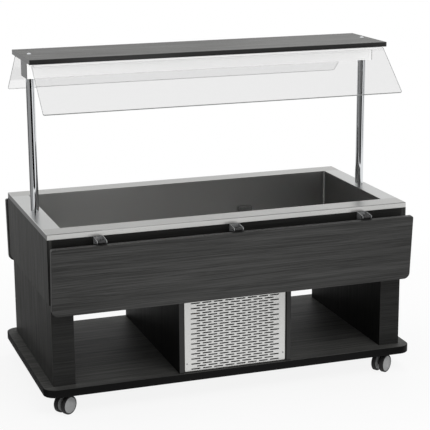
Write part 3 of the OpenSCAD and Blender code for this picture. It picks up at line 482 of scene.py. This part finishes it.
# Bright chrome plate over polished tube: nearly a mirror, a shade bluer than steel.
chrome = new_material("bright_chrome_plate")
where = node(chrome, "ShaderNodeTexCoord").outputs["Object"]
haze = node(chrome, "ShaderNodeTexNoise", {"Vector": where, "Scale": 25.0, "Detail": 2.0}).outputs["Fac"]
gloss = node(chrome, "ShaderNodeMapRange", {"Value": haze, "To Min": 0.03, "To Max": 0.08}).outputs[0]
shade = node(chrome, "ShaderNodeBsdfPrincipled", {"Base Color": linear("#d8dadc"), "Metallic": 1.0,
                                                  "Roughness": gloss}).outputs[0]
node(chrome, "ShaderNodeOutputMaterial", {"Surface": shade})

POST_R = 17 * MM
low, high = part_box("posts")
for side, x in (("left", low.x + POST_R), ("right", high.x - POST_R)):
    deselect()
    bpy.ops.mesh.primitive_cylinder_add(vertices=64, radius=POST_R, depth=high.z - low.z,
                                        location=(x, 0, (low.z + high.z) / 2))
    bpy.ops.object.transform_apply(location=True, rotation=True, scale=True)
    post = bpy.context.object
    post.name = "post_" + side
    pick(post, "FACE", lambda c, n: abs(n.z) > 0.9)
    bpy.ops.mesh.inset(thickness=SHEET_T)
    bpy.ops.mesh.delete(type="FACE")
    deselect()
    make_active(post)
    bpy.ops.object.shade_smooth_by_angle(angle=math.radians(40))
    paint(post, lambda c, n: 0, chrome)
    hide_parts("posts")
    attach(post, "cabinet")
cover(chrome, "post_fixings")

# ---------------------------------------------------------------------------
# Canopy board: one laminated board with a grain that runs lengthwise and a banded
# edge all round, screwed down on the posts by the domed nuts.
# ---------------------------------------------------------------------------

low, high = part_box("canopy_board")
canopy_laminate = laminate("oak_laminate_canopy", "X", "#31312f", "#525250", 0.42, 0.5)
canopy = board("canopy_board_dressed", low, high)
soften(canopy, 1.0 * MM, 2)
paint(canopy, lambda c, n: 0 if abs(n.z) > 0.5 else 1, canopy_laminate, edge_band)
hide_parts("canopy_board")
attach(canopy, "cabinet")

# ---------------------------------------------------------------------------
# Lamp housing: a long channel of sheet steel, powder-coated white, open below between
# two lips that carry the diffuser. A dark grey cap closes each end.
# ---------------------------------------------------------------------------

# The housing has a painted glow: it is coated sheet and no lamp, and the glow stands in for light on it.
white_coat_painted_glow = coated("white_powder_coat_painted_glow", "#f4f4f3", 0.35, 0.6)
low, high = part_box("lamp_housing")
LIP = 9.5 * MM
channel = board("lamp_housing_dressed", low, high)
for place in (low.y + LIP, high.y - LIP):
    pick(channel, "FACE", lambda c, n: n.z < -0.9)
    bpy.ops.mesh.bisect(plane_co=(0, place, low.z), plane_no=(0, 1, 0))
    deselect()
pick(channel, "FACE", lambda c, n: abs(n.x) > 0.9 or n.z < -0.9 and abs(c.y) < high.y - LIP)
bpy.ops.mesh.delete(type="FACE")
deselect()
soften(channel, 1.8 * MM, 3, 60)
thicken(channel, SHEET_T)
paint(channel, lambda c, n: 0, white_coat_painted_glow)
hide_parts("lamp_housing")
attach(channel, "cabinet")

cover(coated("dark_grey_powder_coat", "#5a5b5c", 0.4), "lamp_end_caps")

# Opal acrylic: extruded, milky right through, lit softly from the strip behind it.
opal = new_material("opal_acrylic")
where = node(opal, "ShaderNodeTexCoord").outputs["Object"]
milk = node(opal, "ShaderNodeTexNoise", {"Vector": where, "Scale": 40.0, "Detail": 1.0}).outputs["Fac"]
colour = node(opal, "ShaderNodeValToRGB", {"Fac": milk}, [(0.3, "#f0f0ec"), (0.7, "#f7f7f4")]).outputs[0]
shade = node(opal, "ShaderNodeBsdfPrincipled", {"Base Color": colour, "Roughness": 0.3, "IOR": 1.49,
                                                "Subsurface Weight": 0.2, "Emission Color": (1, 1, 1, 1),
                                                "Emission Strength": 0.32}).outputs[0]
node(opal, "ShaderNodeOutputMaterial", {"Surface": shade})
cover(opal, "lamp_diffuser")
cover(coated("white_solder_mask", "#efeee6", 0.5), "led_strip")

# ---------------------------------------------------------------------------
# Sneeze glasses: two plates of toughened float glass with arrissed edges, sloping out
# from under the canopy. Each is clamped by its top edge in a white coated rail.
# ---------------------------------------------------------------------------

# Float glass, 6 mm: clear, faintly grey right through, with hardly a smear on it.
glass = new_material("toughened_float_glass")
where = node(glass, "ShaderNodeTexCoord").outputs["Object"]
smear = node(glass, "ShaderNodeTexNoise", {"Vector": where, "Scale": 6.0, "Detail": 2.0}).outputs["Fac"]
gloss = node(glass, "ShaderNodeMapRange", {"Value": smear, "To Min": 0.0, "To Max": 0.02}).outputs[0]
shade = node(glass, "ShaderNodeBsdfPrincipled", {"Base Color": linear("#f1f1f1"), "Roughness": gloss,
                                                 "IOR": 1.52, "Transmission Weight": 1.0}).outputs[0]
node(glass, "ShaderNodeOutputMaterial", {"Surface": shade})

# The ground edge of the same glass: a matt seam that looks grey.
glass_edge = new_material("ground_glass_edge")
where = node(glass_edge, "ShaderNodeTexCoord").outputs["Object"]
grit = node(glass_edge, "ShaderNodeTexNoise",
            {"Vector": where, "Scale": 500.0, "Detail": 2.0}).outputs["Fac"]
colour = node(glass_edge, "ShaderNodeValToRGB", {"Fac": grit},
              [(0.3, "#b6b8b7"), (0.7, "#c8caca")]).outputs[0]
shade = node(glass_edge, "ShaderNodeBsdfPrincipled", {"Base Color": colour, "Roughness": 0.35,
                                                      "IOR": 1.52, "Transmission Weight": 0.35}).outputs[0]
node(glass_edge, "ShaderNodeOutputMaterial", {"Surface": shade})

GLASS_L, GLASS_H, GLASS_T = 1475 * MM, 244 * MM, 6 * MM
GLASS_CORNER_R, ARRIS = 6 * MM, 0.7 * MM
GLASS_Y, GLASS_DROP = 155 * MM, 5 * MM
GLASS_TOP = Vector((0, -GLASS_Y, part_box("canopy_board")[0].z - GLASS_DROP))
SLOPE = math.radians(90 - 49)  # 49 degrees from upright
for name, turn in (("front_glass", 0), ("rear_glass", math.pi)):
    pane = board(name + "_dressed", (-GLASS_L / 2, -GLASS_H, -GLASS_T / 2), (GLASS_L / 2, 0, GLASS_T / 2))
    pick(pane, "EDGE", lambda a, b: abs(a.z - b.z) > 1 * MM)
    bpy.ops.mesh.bevel(offset=GLASS_CORNER_R, segments=6, affect="EDGES")
    deselect()
    make_active(pane)
    arris = pane.modifiers.new("arris", "BEVEL")
    arris.width = ARRIS
    arris.segments = 1
    bpy.ops.object.modifier_apply(modifier="arris")
    paint(pane, lambda c, n: 0 if abs(n.z) > 0.99 else 1, glass, glass_edge)
    pane.data.transform(Matrix.Translation(GLASS_TOP) @ Matrix.Rotation(SLOPE, 4, "X"))
    pane.data.transform(Matrix.Rotation(turn, 4, "Z"))
    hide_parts(name)
    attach(pane, "cabinet")

# The rails get a painted glow as well: it stands in for light where the canopy shades them.
cover(coated("white_rail_coat_painted_glow", "#efefee", 0.4, 0.35), "glass_rails")

# ---------------------------------------------------------------------------
# Leaves: laminated boards that hang on three hinges along each side, tilted by their
# own weight, and fold up level for trays. Lower corners are rounded, edges banded.
# ---------------------------------------------------------------------------

leaf_laminate = laminate("oak_laminate_leaf", "X", "#2b2b2a", "#4d4d4c", 0.46)
leaf_band = moulded("abs_leaf_band", "#232322", 0.4)
LEAF_L, LEAF_H, LEAF_T, LEAF_OFF = 1500 * MM, 270 * MM, 22 * MM, 8 * MM
LEAF_R, LEAF_TOP_R = 25 * MM, 8 * MM
PIN = Vector((0, -426 * MM, 694 * MM))
TILT = math.radians(90 + 4.5)  # hangs 4.5 degrees past upright
for name, body, turn in (("front_leaf", "front_flap", 0), ("rear_leaf", "rear_flap", math.pi)):
    leaf = board(name + "_dressed", (-LEAF_L / 2, -LEAF_OFF - LEAF_H, 0), (LEAF_L / 2, -LEAF_OFF, LEAF_T))
    pick(leaf, "EDGE", lambda a, b: abs(a.z - b.z) > 1 * MM and a.y < -0.1)
    bpy.ops.mesh.bevel(offset=LEAF_R, segments=10, affect="EDGES")
    deselect()
    pick(leaf, "EDGE", lambda a, b: abs(a.z - b.z) > 1 * MM and a.y > -0.02 and abs(a.x) > 0.7)
    bpy.ops.mesh.bevel(offset=LEAF_TOP_R, segments=6, affect="EDGES")
    deselect()
    soften(leaf, 1.6 * MM, 3)
    paint(leaf, lambda c, n: 0 if abs(n.z) > 0.7 else 1, leaf_laminate, leaf_band)
    leaf.data.transform(Matrix.Translation(PIN) @ Matrix.Rotation(TILT, 4, "X"))
    leaf.data.transform(Matrix.Rotation(turn, 4, "Z"))
    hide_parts(name)
    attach(leaf, body)

# ---------------------------------------------------------------------------
# Hinges: six brackets folded from 3 mm steel, screwed to the box under the rim, with
# loose pins; a plate with a rolled knuckle is screwed to the back of each leaf.
# ---------------------------------------------------------------------------

# Zinc-plated and passivated steel, dull from handling: half of its light comes back soft.
dull_zinc = new_material("passivated_zinc_plate")
where = node(dull_zinc, "ShaderNodeTexCoord").outputs["Object"]
bloom = node(dull_zinc, "ShaderNodeTexNoise",
             {"Vector": where, "Scale": 130.0, "Detail": 3.0}).outputs["Fac"]
colour = node(dull_zinc, "ShaderNodeValToRGB", {"Fac": bloom},
              [(0.35, "#8c8d8e"), (0.65, "#b2b3b4")]).outputs[0]
gloss = node(dull_zinc, "ShaderNodeMapRange", {"Value": bloom, "To Min": 0.42, "To Max": 0.58}).outputs[0]
shade = node(dull_zinc, "ShaderNodeBsdfPrincipled", {"Base Color": colour, "Metallic": 0.5,
                                                     "Roughness": gloss}).outputs[0]
node(dull_zinc, "ShaderNodeOutputMaterial", {"Surface": shade})
cover(dull_zinc, "hinge_brackets")
cover(coated("black_passivated_zinc", "#2c2c2d", 0.42),
      "hinge_pins", "front_hinge_plates", "rear_hinge_plates")

# ---------------------------------------------------------------------------
# Casters: twin-wheel swivel casters screwed under the base. Each wheel is a grey
# moulded disc in a black rubber tread; its hidden bore is closed, around the axle.
# ---------------------------------------------------------------------------

tread_rubber = moulded("black_thermoplastic_rubber", "#040404", 0.8, 0.8)
disc_grey = moulded("grey_polypropylene_disc", "#a4a5a5", 0.42)
WHEEL_R, WHEEL_W, TREAD = 37.5 * MM, 18 * MM, 6 * MM
WHEEL_GAP, TRAIL = 19 * MM, 20 * MM
TURN = math.radians(180 + 34)  # all four casters trail the same way
CASTER_X, CASTER_Y = 680 * MM, 349 * MM
# Width and step of each ring on a wheel's face, from the tread in to the cap of the hub
RINGS = ((TREAD, 0), (0.6 * MM, -1.2 * MM), (3 * MM, 0), (1.2 * MM, 0.8 * MM), (18 * MM, 0.3 * MM),
         (1 * MM, -0.8 * MM))

deselect()
bpy.ops.mesh.primitive_cylinder_add(vertices=64, radius=WHEEL_R, depth=WHEEL_W)
pattern = bpy.context.object
pattern.name = "wheel_pattern"
for sign in (-1, 1):
    pick(pattern, "FACE", lambda c, n: n.z * sign > 0.9 and c.xy.length < 1 * MM)
    for width, step in RINGS:
        bpy.ops.mesh.inset(thickness=width, depth=step)
    deselect()
pick(pattern, "EDGE", lambda a, b: abs(a.xy.length - WHEEL_R) < 1e-5 and abs(b.xy.length - WHEEL_R) < 1e-5
     and abs(a.z - b.z) < 1e-5)
bpy.ops.mesh.bevel(offset=3 * MM, segments=4, affect="EDGES")
deselect()
make_active(pattern)
bpy.ops.object.shade_smooth_by_angle(angle=math.radians(35))
paint(pattern, lambda c, n: 0 if c.xy.length > WHEEL_R - TREAD - 0.3 * MM else 1, tread_rubber, disc_grey)

body_black = moulded("black_glass_filled_nylon", "#161616", 0.4)
CASTERS = {"front_left": (-1, -1), "front_right": (1, -1), "rear_left": (-1, 1), "rear_right": (1, 1)}
for corner, (sx, sy) in CASTERS.items():
    swivel = Matrix.Translation((sx * CASTER_X, sy * CASTER_Y, 0)) @ Matrix.Rotation(TURN, 4, "Z")
    for letter, side in (("a", 1), ("b", -1)):
        wheel = pattern.copy()
        wheel.data = pattern.data.copy()
        wheel.name = f"{corner}_wheel_{letter}_dressed"
        bpy.context.scene.collection.objects.link(wheel)
        out = Matrix.Translation((TRAIL, side * (WHEEL_GAP + WHEEL_W) / 2, WHEEL_R))
        wheel.data.transform(swivel @ out @ Matrix.Rotation(math.radians(90), 4, "X"))
        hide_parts(f"{corner}_wheel_{letter}")
        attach(wheel, f"{corner}_{letter}")
    cover(body_black, corner + "_caster")
bpy.data.objects.remove(pattern)

# ---------------------------------------------------------------------------
# Cooling set: condenser of aluminium fins on copper tube behind the front grille, a
# fan in its shroud, and a black hermetic compressor, joined by copper lines.
# ---------------------------------------------------------------------------

copper = new_material("drawn_copper_tube")
where = node(copper, "ShaderNodeTexCoord").outputs["Object"]
tarnish = node(copper, "ShaderNodeTexNoise", {"Vector": where, "Scale": 60.0, "Detail": 3.0}).outputs["Fac"]
colour = node(copper, "ShaderNodeValToRGB", {"Fac": tarnish},
              [(0.35, "#a0603d"), (0.65, "#c98a5e")]).outputs[0]
shade = node(copper, "ShaderNodeBsdfPrincipled", {"Base Color": colour, "Metallic": 1.0,
                                                  "Roughness": 0.3}).outputs[0]
node(copper, "ShaderNodeOutputMaterial", {"Surface": shade})

# Rigid polyurethane foam: blown between the boards, sand-coloured, its fine cells drawn
# 2 mm wide so that they show.
foam = new_material("rigid_polyurethane_foam")
where = node(foam, "ShaderNodeTexCoord").outputs["Object"]
cells = node(foam, "ShaderNodeTexVoronoi", {"Vector": where, "Scale": 500.0}).outputs["Distance"]
colour = node(foam, "ShaderNodeValToRGB", {"Fac": cells}, [(0.0, "#b8a266"), (0.7, "#dccb92")]).outputs[0]
relief = node(foam, "ShaderNodeBump", {"Height": cells, "Strength": 0.3, "Distance": 0.5 * MM}).outputs[0]
shade = node(foam, "ShaderNodeBsdfPrincipled", {"Base Color": colour, "Roughness": 0.9, "IOR": 1.45,
                                                "Normal": relief}).outputs[0]
node(foam, "ShaderNodeOutputMaterial", {"Surface": shade})

cover(brushed("mill_finish_aluminium", "Z", "#77787a", 0.45), "condenser")
cover(copper, "copper_circuit")
cover(foam, "insulation")
cover(coated("black_enamel_shell", "#131313", 0.3), "compressor")
cover(coated("grey_enamel_motor", "#3a3b3c", 0.4), "fan_motor")
cover(moulded("grey_polypropylene_fan", "#4a4b4c", 0.45), "fan_blades")
cover(brushed("nickel_plated_brass", "Z", "#b9ad94", 0.3), "drain_valve")
cover(coated("red_dipped_steel", "#9e2620", 0.4), "drain_lever")

# ---------------------------------------------------------------------------
# Studio: pale floor that turns to white away from the object, white surroundings, two
# soft lamps, grey boards for the metals to mirror, and the photograph's camera.
# ---------------------------------------------------------------------------


def looked_at(material):
    """1 on rays from the camera, a mirror or glass, and 0 on rays that only carry light."""
    path = node(material, "ShaderNodeLightPath").outputs
    seen = node(material, "ShaderNodeMath", {0: path["Is Camera Ray"], 1: path["Is Glossy Ray"]},
                operation="MAXIMUM").outputs[0]
    return node(material, "ShaderNodeMath", {0: seen, 1: path["Is Transmission Ray"]},
                operation="MAXIMUM").outputs[0]


# Near the object 88 % of the floor that is looked at is plain white: a faint shadow stays.
SHADOW_COVER = 0.88
floor_mat = new_material("studio_floor")
where = node(floor_mat, "ShaderNodeTexCoord").outputs["Object"]
far = node(floor_mat, "ShaderNodeVectorMath", {0: where}, operation="LENGTH").outputs["Value"]
fade = node(floor_mat, "ShaderNodeMapRange", {"Value": far, "From Min": 1.0, "From Max": 2.4}).outputs[0]
seen = looked_at(floor_mat)
matt = node(floor_mat, "ShaderNodeBsdfDiffuse", {"Color": linear("#f2f2f2")}).outputs[0]
white = node(floor_mat, "ShaderNodeEmission", {"Color": (1, 1, 1, 1), "Strength": 1.0}).outputs[0]
share = node(floor_mat, "ShaderNodeMath", {0: seen, 1: SHADOW_COVER}, operation="MULTIPLY").outputs[0]
near = node(floor_mat, "ShaderNodeMixShader", {0: share, 1: matt, 2: white}).outputs[0]
away = node(floor_mat, "ShaderNodeMixShader", {0: seen, 1: matt, 2: white}).outputs[0]
whole = node(floor_mat, "ShaderNodeMixShader", {0: fade, 1: near, 2: away}).outputs[0]
node(floor_mat, "ShaderNodeOutputMaterial", {"Surface": whole})
deselect()
bpy.ops.mesh.primitive_plane_add(size=60)
floor = bpy.context.object
floor.name = "studio_floor"
floor.data.materials.append(floor_mat)

world = bpy.context.scene.world or bpy.data.worlds.new("studio")
bpy.context.scene.world = world
world.use_nodes = True
world.node_tree.nodes.clear()
seen = looked_at(world)
light = node(world, "ShaderNodeBackground", {"Color": (1, 1, 1, 1), "Strength": 0.55}).outputs[0]
white = node(world, "ShaderNodeBackground", {"Color": (1, 1, 1, 1), "Strength": 1.0}).outputs[0]
sky = node(world, "ShaderNodeMixShader", {0: seen, 1: light, 2: white}).outputs[0]
node(world, "ShaderNodeOutputWorld", {"Surface": sky})


def softbox(name, place, aim, width, height, watts):
    """A rectangular lamp at place, turned towards aim."""
    lamp = bpy.data.lights.new(name, "AREA")
    lamp.shape = "RECTANGLE"
    lamp.size, lamp.size_y = width, height
    lamp.energy = watts
    made = bpy.data.objects.new(name, lamp)
    made.location = place
    made.visible_glossy = False
    made.visible_transmission = False
    made.rotation_euler = (Vector(aim) - Vector(place)).to_track_quat("-Z", "Y").to_euler()
    bpy.context.scene.collection.objects.link(made)


softbox("key_softbox", (0.9, -3.8, 4.6), (0, 0, 0.6), 2.4, 2.0, 70)
softbox("top_softbox", (0.4, 0.6, 4.6), (0, 0, 0.8), 3.0, 2.4, 62)


def flag(name, tone, low, high, through_glass=False):
    """A grey board between two corners that shows only on rays that were mirrored.

    With through_glass it also shows on those that pass the glass after the mirror.
    """
    board_mat = new_material(name)
    path = node(board_mat, "ShaderNodeLightPath")
    mirrored = node(board_mat, "ShaderNodeMath", {0: path.outputs["Glossy Depth"], 1: 0.5},
                    operation="GREATER_THAN").outputs[0]
    clear = node(board_mat, "ShaderNodeBsdfTransparent").outputs[0]
    glow = node(board_mat, "ShaderNodeEmission", {"Color": linear(tone), "Strength": 1.0}).outputs[0]
    seen = node(board_mat, "ShaderNodeMixShader", {0: mirrored, 1: clear, 2: glow}).outputs[0]
    node(board_mat, "ShaderNodeOutputMaterial", {"Surface": seen})
    made = board(name, low, high)
    made.data.materials.append(board_mat)
    made.visible_camera = False
    made.visible_diffuse = False
    made.visible_transmission = through_glass
    made.visible_shadow = False


# The boards suit the photograph's side. From behind, the rim mirrors the dark ones.
POST_FLAGS = (("left_post_flag", "#050505", -0.905, -0.54), ("left_post_side_flag", "#8a8a8a", -0.11, 0.14),
              ("middle_post_flag", "#6a6a6a", 0.14, 0.648), ("right_post_flag", "#050505", 0.648, 0.854),
              ("right_post_side_flag", "#8a8a8a", 1.167, 2.2))
for name, tone, left, right in POST_FLAGS:
    flag(name, tone, (left, -0.401, 0.735), (right, -0.4, 1.32), True)
flag("left_flag", "#a0a0a0", (-2.82, -4.1, 0.02), (-2.8, 0.62, 1.5))
flag("left_rear_flag", "#121212", (-2.82, 0.62, 0.02), (-2.8, 2.0, 0.9))
flag("rear_flag", "#b4b4b4", (-2.8, 2.0, 0.02), (-0.3, 2.02, 0.9))
FLOOR_FLAGS = (("near_left_floor_flag", "#0c0c0c", -2.6, -0.85, -0.4, 0.4),
               ("middle_left_floor_flag", "#585858", -2.6, -0.85, 0.4, 0.9),
               ("far_left_floor_flag", "#a4a4a4", -2.6, -0.85, 0.9, 3.0),
               ("rear_left_floor_flag", "#080808", -0.85, -0.22, 1.0, 2.2),
               ("rear_right_floor_flag", "#080808", 0.05, 0.66, 1.0, 2.2),
               ("front_left_floor_flag", "#121212", -1.5, -0.3, -1.9, -0.6),
               ("front_floor_flag", "#5a5a5a", -0.7, 1.9, -2.3, -1.8),
               ("front_right_floor_flag", "#050505", 0.7, 1.9, -1.8, -0.5))
for name, tone, left, right, front, rear in FLOOR_FLAGS:
    flag(name, tone, (left, front, 0.004), (right, rear, 0.005))
flag("high_flag", "#d8d8d8", (-0.6, 3.0, 1.95), (1.3, 3.02, 3.4))
flag("ceiling_flag", "#050505", (-0.6, -2.4, 7.0), (4.5, 0.2, 7.01))

# Lens in mm, and the camera's turns in degrees, solved from the photograph's straight edges
LENS, PITCH, YAW, ROLL = 116.78, -14.17, -19.14, -0.34
CAMERA_AT = (-1.81165, -5.36887, 2.0804)
lens = bpy.data.cameras.new("camera")
lens.sensor_width = 36
lens.lens = LENS
lens.clip_end = 100
camera = bpy.data.objects.new("camera", lens)
look = Euler((math.radians(90 + PITCH), 0, math.radians(YAW))).to_matrix().to_4x4()
camera.matrix_world = (Matrix.Translation(CAMERA_AT) @ look
                       @ Matrix.Rotation(math.radians(ROLL), 4, "Z"))
bpy.context.scene.collection.objects.link(camera)
bpy.context.scene.camera = camera
bpy.context.scene.view_settings.view_transform = "Standard"
